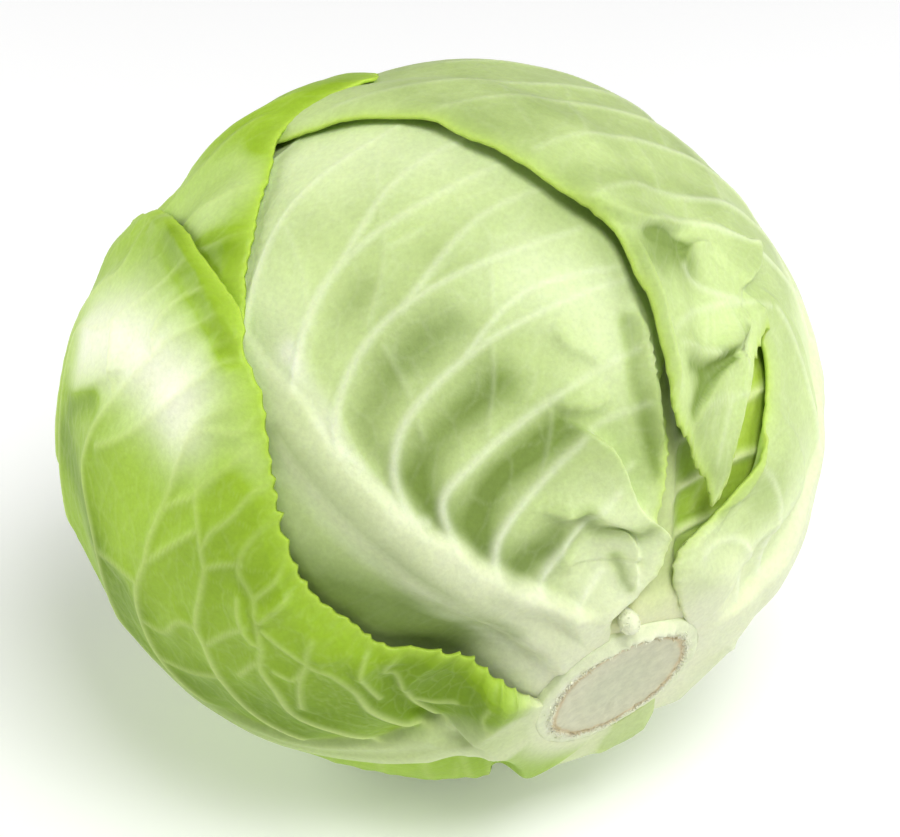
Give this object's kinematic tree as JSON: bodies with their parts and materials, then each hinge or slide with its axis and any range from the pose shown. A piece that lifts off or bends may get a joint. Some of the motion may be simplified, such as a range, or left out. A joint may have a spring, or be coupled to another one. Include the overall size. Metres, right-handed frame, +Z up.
{
  "type": "green cabbage",
  "caption": "Head of green cabbage lying on its side: cut stem, packed heart and overlapping wrapper leaves with ribs and waved margins.",
  "frame": {"origin": "on the table surface, under the middle of the head's bounding box", "axes": "+Z up; +X to the right and +Y away as the head is seen from its stem side; the stem points along +X, -Y and a little down"},
  "size_m": [0.1716, 0.1569, 0.1633],
  "materials": {
    "stem": "fresh-cut fibrous stem, matt",
    "inner_leaf": "fresh leaf, satin",
    "pale_leaf": "waxy fresh leaf, pale veins, satin",
    "green_leaf": "waxy fresh leaf, pale net of veins, satin"
  },
  "bodies": {
    "root": {"stem": "stem", "heart": "inner_leaf", "leaf_inner": "inner_leaf", "leaf_front": "pale_leaf", "leaf_back": "pale_leaf", "leaf_right": "pale_leaf", "leaf_upper": "green_leaf", "leaf_outer": "green_leaf"}
  },
  "joints": []
}
